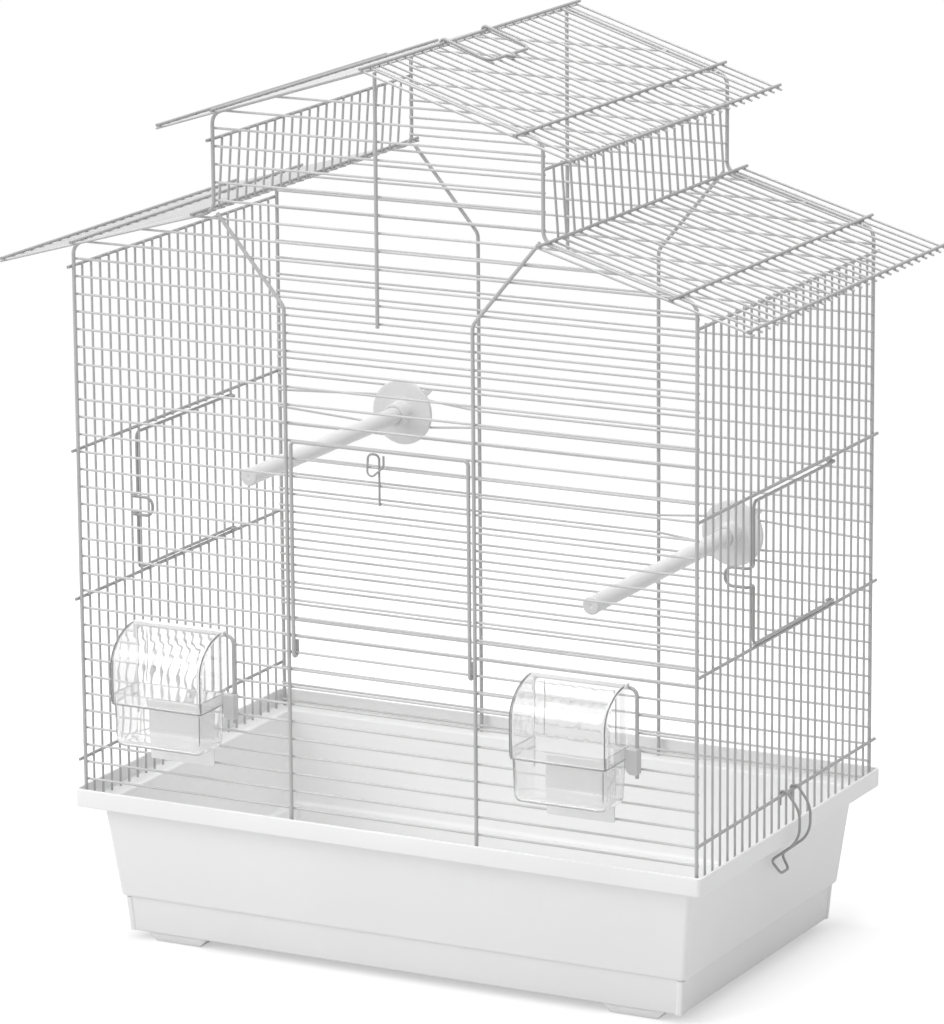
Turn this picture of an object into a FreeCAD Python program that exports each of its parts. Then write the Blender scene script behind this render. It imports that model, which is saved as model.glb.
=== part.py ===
import FreeCAD, Part
import math
import os

# A bird cage of welded wire with a two-tier roof, standing in a moulded tray. Millimetres, Z up.
# X runs along the front and the front faces -Y. Pieces are made round the tray's middle and written with
# the origin on the floor under the middle of the whole cage, since the feeders reach past the front.

# Tray
rim_length = 510.0
rim_depth = 311.0
rim_top = 119.5
rim_lip = 14.0
rim_overhang = 15.0
tray_wall = 2.2
tray_corner = 4.0
tray_taper = 8.5
plinth_top = 33.5
plinth_step = 3.5
plinth_taper = 2.0
foot_height = 6.5
foot_length = 37.0
foot_width = 18.0
foot_slope = 6.5
foot_end_inset = 20.0
foot_side_inset = 2.0

# Wire sizes and how wires meet
frame_wire = 2.8
rail_wire = 2.4
mesh_wire = 1.8
front_door_wire = 2.8
side_door_wire = 2.2
latch_wire = 2.0
catch_wire = 1.6
handle_wire = 2.4
weld_sink = 0.1
play = 0.3
rest_gap = 0.1
eye_roundness = 0.98
rail_overrun = 4.0

# Cage walls, measured from the tray's rim
cage_inset = 6.5
upper_half_width = 131.0
lower_wall_height = 390.8
upper_rail_height = 492.1
bar_pitch = 13.0
first_bar_height = 6.5
side_wire_spacing = 12.4
upright_spread = 75.3
upright_bend_height = 376.8
upright_lean = 40.0
centre_upright_foot = 368.0

# Roofs, measured along the rails that lie over the rafters
ridge_height = 555.0
upper_slope = 17.4
upper_mid_rail = 119.7
upper_eave_rail = 163.7
lower_top_rail = 137.2
lower_top_height = 441.6
lower_slope = 15.8
lower_mid_rail = 237.9
lower_eave_rail = 296.6
rafter_spacing = 12.8
gable_share_of_pitch = 0.64
roof_overhang = 17.4
rafter_tip = 3.0
outline_bend = 10.0

# Side wall rails and the doors in them
latch_rail_height = 22.2
door_sill_height = 143.7
door_head_height = 254.6
side_door_wire_count_ahead = 5
side_door_wire_count_behind = 6
side_door_sill_gap = 3.0
side_door_head_gap = 4.5
hairpin_height = 196.7
hairpin_gap = 13.7
hairpin_depth = 18.0
hairpin_clear = 3.6
hairpin_bend = 6.0
side_door_bend = 4.4

# Front door, between two bars of the front panel
door_hinge_bar = 9
door_head_bar = 21
door_side_gap = 4.1
door_hook_tail = 9.0
catch_loop_width = 9.0
catch_loop_height = 19.9
catch_loop_dip = 9.9
catch_loop_rise = 12.0
catch_bars = 3
catch_bend = 3.6
door_corner_bend = 3.6

# Feeders, each on a wire frame in the front panel
feeder_frame_width = 81.2
feeder_sill_bar = 5
feeder_opening_height = 58.5
feeder_frame_tail = 6.5
feeder_frame_bend = 6.0
feeder_side_clear = 3.0
feeder_reach = 37.0
feeder_shift = 3.0
feeder_wall = 1.5
cup_height = 40.0
cup_collar = 7.5
cup_collar_step = 1.2
cup_draft = 0.6
cup_corner = 3.0
hood_straight = 19.3
hood_rise = 27.0
hood_lip_thickness = 2.0
clip_width = 9.0
clip_height = 18.5
clip_depth = 8.0
plate_inset = 11.0
plate_height = 41.0
plate_thickness = 1.6
plate_drop = 17.0

# Perches, screwed to the back wall
perch_share_of_width = 0.558
perch_length = 235.0
perch_diameter = 13.0
perch_round = 3.0
left_perch_bar_number = 17
right_perch_bar_number = 12
flange_diameter = 50.0
flange_thickness = 4.0
socket_diameter = 18.0
socket_depth = 12.0
stud_diameter = 6.0
washer_diameter = 30.0
washer_thickness = 3.0
nut_diameter = 15.0
nut_height = 11.0
wing_span = 44.0
wing_thickness = 3.0
wing_turn = -45.0
bowed_bar_rise = 6.0
bowed_bar_bend = 150.0

# Tray latches, hung on the lowest rail of each side wall
latch_arm_share_of_pitch = 0.74
latch_tail = 8.0
latch_tab_width = 13.0
latch_tab_drop = 24.0
latch_bow = 9.0
latch_bow_start = 0.3
latch_bow_end = 0.91
latch_bow_roundness = 0.58
latch_hook = 13.5
latch_hook_bend = 3.5

# Carry handle, hung on the ridge rail
handle_first_gap_number = -3.5
handle_gap_count = 5
handle_reach = 37.0
handle_notch = 5.0
handle_bend = 6.0
handle_notch_bend = 2.5

# Sizes that follow from the ones above
half_width = rim_length / 2 - cage_inset
half_depth = rim_depth / 2 - cage_inset
frame_radius = frame_wire / 2
rail_radius = rail_wire / 2
mesh_radius = mesh_wire / 2
front_door_radius = front_door_wire / 2
side_door_radius = side_door_wire / 2
ledge_top = rim_top - rim_lip + tray_wall
wire_foot = ledge_top + rest_gap
rail_x = half_width + frame_radius + rail_radius - weld_sink
wall_x = rail_x - rail_radius - mesh_radius + weld_sink
side_middle_wire = round(half_depth / side_wire_spacing)
side_gaps = 2 * side_middle_wire
side_pitch = 2 * half_depth / side_gaps
side_door_front_wire = side_middle_wire - side_door_wire_count_ahead
side_door_hinge_wire = side_middle_wire + side_door_wire_count_behind
bar_y = half_depth - frame_radius - mesh_radius + weld_sink
upper_tan = math.tan(math.radians(upper_slope))
lower_tan = math.tan(math.radians(lower_slope))
rafter_drop = rail_radius + mesh_radius - weld_sink
outline_drop = rail_radius + frame_radius - weld_sink
rafters_inside_gable = round(half_depth / rafter_spacing - gable_share_of_pitch)
rafter_pitch = half_depth / (rafters_inside_gable + gable_share_of_pitch)
rafters_each_side = round((half_depth + roof_overhang) / rafter_pitch)
roof_half_length = rafters_each_side * rafter_pitch
feeder_centre = (upright_spread + half_width) / 2
feeder_width = feeder_frame_width - 2 * feeder_side_clear
plate_width = feeder_width - 2 * plate_inset
perch_spread = half_width * perch_share_of_width
cup_back = -half_depth - frame_radius - play
front_reach = feeder_reach - cup_back
back_reach = roof_half_length + rail_overrun
depth_shift = (front_reach - back_reach) / 2


def point(x, y, z):
    return FreeCAD.Vector(x, y, z)


def bar_height(index):
    """Height of one horizontal bar of the front and back panels."""
    return rim_top + first_bar_height + index * bar_pitch


def side_wire_y(index):
    """Place of one upright wire of a side wall, counted from the front corner."""
    return -half_depth + index * side_pitch


def upper_roof_height(x, drop):
    """Height of the upper roof's slope, a given drop below its rails."""
    ridge = rim_top + ridge_height - drop / math.cos(math.radians(upper_slope))
    return ridge - abs(x) * upper_tan


def lower_roof_height(x, drop):
    """Height of the lower roof's slope, a given drop below its rails."""
    top = rim_top + lower_top_height - drop / math.cos(math.radians(lower_slope))
    return top - (abs(x) - lower_top_rail) * lower_tan


def straight_wire(start, end, diameter):
    """A round wire from one point to another, cut square."""
    run = end.sub(start)
    return Part.makeCylinder(diameter / 2, run.Length, start, run)


def bent_wire(points, bends, diameter):
    """One round wire along straight runs, with a rounded bend of its own radius at each corner."""
    edges = []
    here = points[0]
    for before, corner, after, bend in zip(points, points[1:], points[2:], bends):
        inward = corner.sub(before).normalize()
        outward = after.sub(corner).normalize()
        half_turn = inward.getAngle(outward) / 2
        reach = bend * math.tan(half_turn)
        side = outward.sub(inward).normalize()
        middle = corner + side * (bend / math.cos(half_turn) - bend)
        arc_start = corner - inward * reach
        arc_end = corner + outward * reach
        edges.append(Part.LineSegment(here, arc_start).toShape())
        edges.append(Part.Arc(arc_start, middle, arc_end).toShape())
        here = arc_end
    edges.append(Part.LineSegment(here, points[-1]).toShape())
    path = Part.Wire(edges)
    ring = Part.Wire(Part.makeCircle(diameter / 2, points[0], points[1].sub(points[0])))
    return path.makePipeShell([ring], True, False)


def save(name, solids):
    """Writes one node, a single solid or a group of like ones, moved to the whole cage's middle."""
    moved = [solid.translated(point(0, depth_shift, 0)) for solid in solids]
    shape = moved[0] if len(moved) == 1 else Part.makeCompound(moved)
    shape.exportStep("parts/" + name + ".step")


def rounded_outline(half_x, half_y, z, corner, middle_y=0):
    """A closed rectangle with round corners, flat at one height."""
    inner_x = half_x - corner
    inner_y = half_y - corner
    edges = []
    for turn in range(4):
        start = math.radians(90 * turn)
        sign_x = 1 if turn in (0, 3) else -1
        sign_y = 1 if turn in (0, 1) else -1
        middle = point(sign_x * inner_x, middle_y + sign_y * inner_y, z)
        swing = [start, start + math.pi / 4, start + math.pi / 2]
        on_arc = [middle + point(math.cos(a), math.sin(a), 0) * corner for a in swing]
        if edges:
            edges.append(Part.LineSegment(edges[-1].Vertexes[-1].Point, on_arc[0]).toShape())
        edges.append(Part.Arc(on_arc[0], on_arc[1], on_arc[2]).toShape())
    edges.append(Part.LineSegment(edges[-1].Vertexes[-1].Point, edges[0].Vertexes[0].Point).toShape())
    return Part.Wire(edges)


def tapered_block(low, high):
    """A solid between two rounded rectangles, each given as half length, half depth, height, corner."""
    return Part.makeLoft([rounded_outline(*low), rounded_outline(*high)], True, True)


def mirrored_pair(points):
    """Points of one half of a symmetric wire, followed by their mirror images across X = 0."""
    return points + [point(-p.x, p.y, p.z) for p in reversed(points)]


# Tray: a tapered basin on a stepped plinth, with a ledge and an outer lip that hold the wire cage
def make_tray():
    under_rim = rim_top - rim_lip
    floor_top = foot_height + tray_wall
    body_x = rim_length / 2 - rim_overhang
    body_y = rim_depth / 2 - rim_overhang
    low_x = body_x - tray_taper
    low_y = body_y - tray_taper
    plinth_x = low_x - plinth_step
    plinth_y = low_y - plinth_step
    base_x = plinth_x - plinth_taper
    base_y = plinth_y - plinth_taper
    w = tray_wall
    corner = tray_corner
    inner_corner = tray_corner - w

    def block(half_x, half_y, bottom, top):
        return tapered_block((half_x, half_y, bottom, corner), (half_x, half_y, top, corner))

    outside = block(rim_length / 2, rim_depth / 2, under_rim, rim_top)
    body = tapered_block((low_x, low_y, plinth_top, corner), (body_x, body_y, under_rim, corner))
    plinth = tapered_block((base_x, base_y, foot_height, corner), (plinth_x, plinth_y, plinth_top, corner))
    half_foot = foot_length / 2
    foot_outline = Part.makePolygon([point(-half_foot, 0, 0), point(half_foot, 0, 0),
                                     point(half_foot + foot_slope, 0, foot_height),
                                     point(-half_foot - foot_slope, 0, foot_height), point(-half_foot, 0, 0)])
    foot = Part.Face(foot_outline).extrude(point(0, foot_width, 0))
    feet = []
    for sign_x in (-1, 1):
        for sign_y in (-1, 1):
            middle_x = sign_x * (base_x - foot_end_inset - half_foot)
            middle_y = sign_y * (base_y - foot_side_inset - foot_width / 2)
            feet.append(foot.translated(point(middle_x, middle_y - foot_width / 2, 0)))
    solid = outside.multiFuse([body, plinth] + feet)
    pocket = tapered_block((rim_length / 2 - w, rim_depth / 2 - w, ledge_top, inner_corner),
                           (rim_length / 2 - w, rim_depth / 2 - w, rim_top + w, inner_corner))
    basin_low = plinth_top + w
    basin = tapered_block((low_x - w, low_y - w, basin_low, inner_corner),
                          (body_x - w, body_y - w, ledge_top + w, inner_corner))
    well = tapered_block((base_x - w, base_y - w, floor_top, inner_corner),
                         (plinth_x - w, plinth_y - w, basin_low + w, inner_corner))
    return solid.cut(pocket).cut(basin).cut(well).removeSplitter()


# Front and back panels: a bent outline, bent uprights and a short centre upright over many level bars. At
# each perch two back bars are bent apart.
def outline_half_width(z):
    """Half the width inside the panel's outline at one height."""
    lower_foot = lower_roof_height(upper_half_width, outline_drop)
    upper_foot = upper_roof_height(upper_half_width, outline_drop)
    if z <= lower_roof_height(half_width, outline_drop):
        return half_width
    if z <= lower_foot:
        return lower_top_rail + (lower_roof_height(lower_top_rail, outline_drop) - z) / lower_tan
    if z <= upper_foot:
        return upper_half_width
    return (upper_roof_height(0, outline_drop) - z) / upper_tan


def make_outline(y):
    corners = [
        point(half_width, y, wire_foot),
        point(half_width, y, lower_roof_height(half_width, outline_drop)),
        point(upper_half_width, y, lower_roof_height(upper_half_width, outline_drop)),
        point(upper_half_width, y, upper_roof_height(upper_half_width, outline_drop)),
    ]
    ridge = point(0, y, upper_roof_height(0, outline_drop))
    route = corners + [ridge] + [point(-p.x, p.y, p.z) for p in reversed(corners)]
    return bent_wire(route, [outline_bend] * (len(route) - 2), frame_wire)


def make_uprights(y):
    lean = math.radians(upright_lean)
    top_x = upper_half_width - frame_radius * (1 + math.cos(lean)) - play
    bend_z = rim_top + upright_bend_height
    top_z = bend_z + (top_x - upright_spread) / math.tan(lean)
    solids = []
    for side in (-1, 1):
        x = side * upright_spread
        route = [point(x, y, wire_foot), point(x, y, bend_z), point(side * top_x, y, top_z)]
        solids.append(bent_wire(route, [outline_bend], frame_wire))
    ridge_under = upper_roof_height(0, outline_drop) - frame_wire
    foot = point(0, y, rim_top + centre_upright_foot)
    solids.append(straight_wire(foot, point(0, y, ridge_under), frame_wire))
    return solids


def bar_runs(z, gaps):
    """The stretches of one bar that are left between its ends when the gaps are taken out."""
    end = outline_half_width(z)
    here = -end
    runs = []
    for low, high in sorted(gaps):
        runs.append((here, low))
        here = high
    runs.append((here, end))
    return runs


def bowed_bar(y, z, perch_x, rise):
    """A bar bent away from a perch's stud, between its welds on the corner and on the upright."""
    end = outline_half_width(z)
    weld_x = math.copysign(upright_spread, perch_x)
    turns = sorted([point(perch_x, y, z + rise), point(weld_x, y, z)], key=lambda turn: turn.x)
    route = [point(-end, y, z)] + turns + [point(end, y, z)]
    return bent_wire(route, [bowed_bar_bend] * 2, mesh_wire)


def panel_bars(y, gaps_at, bowed):
    """The bars of one panel. gaps_at gives the openings in the bar of one index, and bowed holds the
    perch's place and the rise of each bar that is bent away from a perch."""
    top = upper_roof_height(0, outline_drop)
    count = int((top - bar_height(0)) / bar_pitch)
    solids = []
    for index in range(-1, count):
        z = bar_height(index)
        if index in bowed:
            solids.append(bowed_bar(y, z, *bowed[index]))
            continue
        for low, high in bar_runs(z, gaps_at(index)):
            solids.append(straight_wire(point(low, y, z), point(high, y, z), mesh_wire))
    return solids


def front_gaps(index):
    """Where a front bar stops: at the door, between its hinge and head bars, and at the feeder frames."""
    gaps = []
    if door_hinge_bar < index < door_head_bar:
        gaps.append((-upright_spread, upright_spread))
    in_frame = bar_height(feeder_sill_bar) < bar_height(index) < feeder_head_height()
    if in_frame:
        for side in (-1, 1):
            middle = side * feeder_centre
            gaps.append((middle - feeder_frame_width / 2, middle + feeder_frame_width / 2))
    return gaps


def feeder_head_height():
    return bar_height(feeder_sill_bar) + feeder_opening_height


def make_feeder_frame(side):
    head = feeder_head_height()
    foot = bar_height(feeder_sill_bar) - feeder_frame_tail
    left = side * feeder_centre - feeder_frame_width / 2
    right = left + feeder_frame_width
    route = [point(left, -half_depth, foot), point(left, -half_depth, head),
             point(right, -half_depth, head), point(right, -half_depth, foot)]
    return bent_wire(route, [feeder_frame_bend] * 2, frame_wire)


# Side walls: upright wires inside straight rails that pass outside the corners of the panels
def make_wall_rails(side):
    heights = [latch_rail_height, door_sill_height, door_head_height, lower_wall_height]
    end = half_depth + rail_overrun
    solids = []
    for height in heights:
        z = rim_top + height
        solids.append(straight_wire(point(side * rail_x, -end, z), point(side * rail_x, end, z), rail_wire))
    return solids


def make_wall_wires(side):
    top = rim_top + lower_wall_height + rail_radius
    sill = rim_top + door_sill_height + rail_radius
    head = rim_top + door_head_height - rail_radius
    x = side * wall_x
    solids = []
    for index in range(1, side_gaps):
        y = side_wire_y(index)
        in_door = side_door_front_wire < index < side_door_hinge_wire
        spans = [(wire_foot, sill), (head, top)] if in_door else [(wire_foot, top)]
        for low, high in spans:
            solids.append(straight_wire(point(x, y, low), point(x, y, high), mesh_wire))
    return solids


def make_upper_wall(side):
    """The short wall between the two roofs: one rail, and wires that stand on the lower roof's top rail."""
    top_rail_x = upper_half_width + frame_radius + rail_radius - weld_sink
    top_x = top_rail_x - rail_radius - mesh_radius + weld_sink
    top_z = rim_top + upper_rail_height
    foot_x = lower_top_rail - rail_radius - mesh_radius + weld_sink
    foot_z = rim_top + lower_top_height
    end = half_depth + rail_overrun
    rail = straight_wire(point(side * top_rail_x, -end, top_z),
                         point(side * top_rail_x, end, top_z), rail_wire)
    count = int((half_depth - frame_wire) / rafter_pitch)
    wires = []
    for index in range(-count, count):
        y = (index + 0.5) * rafter_pitch
        wires.append(straight_wire(point(side * foot_x, y, foot_z - rail_radius),
                                   point(side * top_x, y, top_z + rail_radius), mesh_wire))
    return rail, wires


# Roofs: straight rafters down each slope, with rails over them that rest on the panels' outlines
def make_rafters(side, height_at, from_x, to_x):
    solids = []
    for index in range(-rafters_each_side, rafters_each_side + 1):
        y = index * rafter_pitch
        start = point(side * from_x, y, height_at(from_x, rafter_drop))
        end = point(side * to_x, y, height_at(to_x, rafter_drop))
        solids.append(straight_wire(start, end, mesh_wire))
    return solids


def make_roof_rail(x, z):
    end = roof_half_length + rail_overrun
    return straight_wire(point(x, -end, z), point(x, end, z), rail_wire)


# Doors: a bent wire frame with its own wires welded inside it
def make_front_door():
    hinge_z = bar_height(door_hinge_bar)
    head_z = bar_height(door_head_bar)
    x = upright_spread - door_side_gap
    turn = mesh_radius + play + front_door_radius
    front = -bar_y - turn
    behind = -bar_y + turn
    half = [point(x, behind, hinge_z + door_hook_tail), point(x, behind, hinge_z - turn),
            point(x, front, hinge_z - turn), point(x, front, head_z)]
    bends = [turn * eye_roundness] * 2 + [door_corner_bend]
    frame = bent_wire(mirrored_pair(half), bends + bends[::-1], front_door_wire)
    own_bar_y = front + front_door_radius + mesh_radius - weld_sink
    bars = []
    for index in range(door_hinge_bar + 1, door_head_bar):
        z = bar_height(index)
        bars.append(straight_wire(point(-x, own_bar_y, z), point(x, own_bar_y, z), mesh_wire))
    return frame, bars, own_bar_y


def make_catch(own_bar_y):
    """A wire tail welded down the door's top bars, wound into two finger loops under the door's head."""
    tail_y = own_bar_y - mesh_radius - catch_wire / 2 + weld_sink
    loop_y = tail_y - catch_wire - play
    foot = bar_height(door_head_bar - catch_bars) - mesh_radius
    low = bar_height(door_head_bar - 1) - catch_loop_dip
    high = low + catch_loop_height
    left = -catch_loop_width
    right = catch_loop_width / 2
    route = [point(0, tail_y, foot), point(0, tail_y, high), point(left, tail_y, high),
             point(left, loop_y, low), point(right, loop_y, low + catch_loop_rise),
             point(right, loop_y, high)]
    return bent_wire(route, [catch_bend] * (len(route) - 2), catch_wire)


def make_side_door(side):
    hinge_y = side_wire_y(side_door_hinge_wire)
    leg_y = side_wire_y(side_door_front_wire)
    turn_y = side_wire_y(side_door_front_wire - 1) + hairpin_clear
    sill = rim_top + door_sill_height + side_door_sill_gap
    head = rim_top + door_head_height - side_door_head_gap
    middle = rim_top + hairpin_height
    turn = mesh_radius + play + side_door_radius
    out_x = wall_x + turn
    in_x = wall_x - turn
    tip_x = out_x - hairpin_depth

    def eye(z):
        return [point(side * (in_x + turn), hinge_y - turn, z), point(side * in_x, hinge_y - turn, z),
                point(side * in_x, hinge_y + turn, z), point(side * out_x, hinge_y + turn, z)]

    def hairpin(z):
        return [point(side * out_x, leg_y, z), point(side * out_x, turn_y, z), point(side * tip_x, turn_y, z)]

    upper = eye(head) + [point(side * out_x, leg_y, head)] + hairpin(middle + hairpin_gap / 2)
    lower = eye(sill) + [point(side * out_x, leg_y, sill)] + hairpin(middle - hairpin_gap / 2)
    bends = [turn * eye_roundness] * 3 + [side_door_bend, side_door_wire, side_door_wire, hairpin_bend]
    frame = bent_wire(upper + lower[::-1], bends + bends[::-1], side_door_wire)
    own_x = side * (out_x - side_door_radius - mesh_radius + weld_sink)
    wires = []
    for index in range(side_door_front_wire + 1, side_door_hinge_wire):
        y = side_wire_y(index)
        wires.append(straight_wire(point(own_x, y, sill), point(own_x, y, head), mesh_wire))
    return frame, wires


# Tray latch: one wire hung over the lowest side rail, bowed out round the tray's lip, with a finger tab
def make_latch(side):
    axis_z = rim_top + latch_rail_height
    turn = rail_radius + play + latch_wire / 2
    lip_out = rim_length / 2 - rail_x
    under_lip = rim_top - rim_lip - axis_z
    arm_y = side_pitch * latch_arm_share_of_pitch
    bow = lip_out + latch_bow

    def place(out, y, up):
        return point(side * (rail_x + out), y, axis_z + up)

    half = [place(-turn, arm_y, -latch_tail), place(-turn, arm_y, turn), place(turn, arm_y, turn),
            place(bow, arm_y, under_lip * latch_bow_start), place(bow, arm_y, under_lip * latch_bow_end),
            place(lip_out - latch_hook, arm_y, under_lip - latch_hook - latch_wire / 2),
            place(lip_out - latch_hook / 2, latch_tab_width / 2, under_lip - latch_tab_drop)]
    route = half + [point(p.x, -p.y, p.z) for p in reversed(half)]
    bow_bend = abs(under_lip) * latch_bow_roundness
    bends = [turn * eye_roundness] * 2 + [bow_bend] * 2 + [latch_hook_bend] * 2
    return bent_wire(route, bends + bends[::-1], latch_wire)


# Carry handle: a wire bail with an eye round the ridge rail at each end, lying on the right roof
def make_handle():
    turn = rail_radius + play + handle_wire / 2
    first_y = handle_first_gap_number * rafter_pitch
    last_y = first_y + handle_gap_count * rafter_pitch
    middle_y = (first_y + last_y) / 2
    bar_up = mesh_radius - rafter_drop + play + handle_wire / 2
    along = math.radians(upper_slope) + math.asin((turn - bar_up) / (handle_reach + handle_notch))
    ridge_z = rim_top + ridge_height

    def place(down, y, up):
        """A point by its distance down the handle's leg and above it, from the ridge rail's middle."""
        x = down * math.cos(along) + up * math.sin(along)
        z = up * math.cos(along) - down * math.sin(along)
        return point(x, y, ridge_z + z)

    def leg(y):
        return [place(0, y, -turn), place(-turn, y, -turn), place(-turn, y, turn),
                place(handle_reach, y, turn)]

    notch = [place(handle_reach, middle_y - handle_notch, turn),
             place(handle_reach + handle_notch, middle_y, turn),
             place(handle_reach, middle_y + handle_notch, turn)]
    route = leg(first_y) + notch + leg(last_y)[::-1]
    half_bends = [turn * eye_roundness] * 2 + [handle_bend, handle_notch_bend]
    return bent_wire(route, half_bends + [handle_notch_bend] + half_bends[::-1], handle_wire)


# Feeder: a clear cup and hood that hang on the wire frame by side clips, with a milky plate behind the cup
wire_front = -bar_y - mesh_radius - play
hood_top = feeder_head_height() + frame_radius + play + hood_lip_thickness
hood_shoulder = hood_top - hood_rise
cup_rim = hood_shoulder - hood_straight
cup_foot = cup_rim - cup_height


def cup_outline(inset, back_inset, z, corner):
    """The cup's plan at one height, drawn in from the collar's sides and front, and from its back."""
    half_y = (feeder_reach - inset - back_inset) / 2
    middle_y = cup_back - back_inset - half_y
    return rounded_outline(feeder_width / 2 - inset, half_y, z, corner, middle_y)


def make_cup():
    collar_low = cup_rim - cup_collar
    low_inset = cup_collar_step + cup_draft
    inner = cup_corner - feeder_wall
    collar = Part.makeLoft([cup_outline(0, 0, collar_low, cup_corner),
                            cup_outline(0, 0, cup_rim, cup_corner)], True, True)
    bowl = Part.makeLoft([cup_outline(low_inset, 0, cup_foot, cup_corner),
                          cup_outline(cup_collar_step, 0, collar_low, cup_corner)], True, True)
    w = feeder_wall
    room = Part.makeLoft([cup_outline(low_inset + w, w, cup_foot + w, inner),
                          cup_outline(cup_collar_step + w, w, cup_rim + w, inner)], True, True)
    return collar.fuse(bowl).cut(room).removeSplitter()


def hood_block(inset, back_y, foot):
    """A block with the hood's side view: straight up the front, then a quarter oval back to the top."""
    half_x = feeder_width / 2 - inset
    front_y = cup_back - feeder_reach + inset
    top = hood_top - inset
    corners = [point(-half_x, back_y, top), point(-half_x, back_y, foot), point(-half_x, front_y, foot),
               point(-half_x, front_y, hood_shoulder)]
    crown = point(-half_x, cup_back, top)
    edges = [Part.LineSegment(a, b).toShape() for a, b in zip(corners, corners[1:])]
    oval = Part.Ellipse(corners[-1], crown, point(-half_x, cup_back, hood_shoulder))
    edges.append(Part.ArcOfEllipse(oval, 0, math.pi / 2).toShape())
    if back_y > cup_back:
        edges.append(Part.LineSegment(crown, corners[0]).toShape())
    return Part.Face(Part.Wire(edges)).extrude(point(2 * half_x, 0, 0))


def make_hood():
    """An open shell, with a lip behind its top that lies over the frame's head wire."""
    shell = hood_block(0, cup_back, cup_rim)
    lip = Part.makeBox(feeder_width, wire_front - cup_back, hood_lip_thickness)
    lip.translate(point(-feeder_width / 2, cup_back, hood_top - hood_lip_thickness))
    room = hood_block(feeder_wall, cup_back + feeder_wall, cup_rim - feeder_wall)
    return shell.cut(room).fuse(lip).removeSplitter()


def make_clip():
    """A block on the collar's right end, with a groove open to the back for the frame's leg."""
    foot = cup_rim - clip_height
    leg_x = feeder_frame_width / 2 + feeder_shift
    groove = frame_wire + 2 * play
    block = Part.makeBox(clip_width, clip_depth, clip_height)
    block.translate(point(feeder_width / 2, wire_front - clip_depth, foot))
    slot = Part.makeBox(groove, clip_depth, clip_height)
    slot.translate(point(leg_x - groove / 2, -half_depth - frame_radius - play, foot))
    return block.cut(slot)


def make_back_plate():
    plate = Part.makeBox(plate_width, plate_thickness, plate_height)
    plate.translate(point(-plate_width / 2, cup_back, cup_foot - plate_drop))
    return plate


# Perch: a rod in the socket of a round flange, held through the back wires by a wing nut
def y_cylinder(diameter, x, z, start_y, end_y):
    return Part.makeCylinder(diameter / 2, end_y - start_y, point(x, start_y, z), point(0, 1, 0))


def make_perch(x, z):
    wall_in = bar_y - mesh_radius - rest_gap
    wall_out = bar_y + mesh_radius + rest_gap
    face = wall_in - flange_thickness
    nut_end = wall_out + washer_thickness + nut_height
    rod = y_cylinder(perch_diameter, x, z, face - perch_length, face - rest_gap)
    free_end = [edge for edge in rod.Edges if edge.Closed and edge.CenterOfMass.y < face - perch_length / 2]
    rod = rod.makeFillet(perch_round, free_end)
    bore = y_cylinder(perch_diameter + 2 * rest_gap, x, z, face - socket_depth, face)
    flange = y_cylinder(flange_diameter, x, z, face, wall_in)
    flange = flange.fuse(y_cylinder(socket_diameter, x, z, face - socket_depth, face)).cut(bore)
    flange = flange.fuse(y_cylinder(stud_diameter, x, z, wall_in, nut_end)).removeSplitter()
    washer = y_cylinder(washer_diameter, x, z, wall_out, wall_out + washer_thickness)
    hub = y_cylinder(nut_diameter, x, z, wall_out, nut_end)
    wings = Part.makeBox(wing_span, nut_height, wing_thickness)
    wings.translate(point(x - wing_span / 2, wall_out + washer_thickness, z - wing_thickness / 2))
    wings.rotate(point(x, 0, z), point(0, 1, 0), wing_turn)
    hole = y_cylinder(stud_diameter + 2 * rest_gap, x, z, wall_out, nut_end)
    nut = washer.multiFuse([hub, wings]).cut(hole).removeSplitter()
    return rod, flange, nut


# Every piece is built and written under its own name
os.makedirs("parts", exist_ok=True)
save("tray", [make_tray()])
for panel, sign in (("front", -1), ("back", 1)):
    save(panel + "_outline", [make_outline(sign * half_depth)])
    save(panel + "_uprights", make_uprights(sign * half_depth))
save("front_cross_bars", panel_bars(-bar_y, front_gaps, {}))
bars_at_perches = {}
for side, number in ((-1, left_perch_bar_number), (1, right_perch_bar_number)):
    bars_at_perches[number] = (side * perch_spread, -bowed_bar_rise)
    bars_at_perches[number + 1] = (side * perch_spread, bowed_bar_rise)
save("back_cross_bars", panel_bars(bar_y, lambda index: [], bars_at_perches))
save("feeder_frames", [make_feeder_frame(-1), make_feeder_frame(1)])
save("ridge_rail", [make_roof_rail(0, rim_top + ridge_height)])
save("carry_handle", [make_handle()])

door_frame, door_bars, door_bar_y = make_front_door()
save("front_door_frame", [door_frame])
save("front_door_bars", door_bars)
save("front_door_catch", [make_catch(door_bar_y)])

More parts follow.
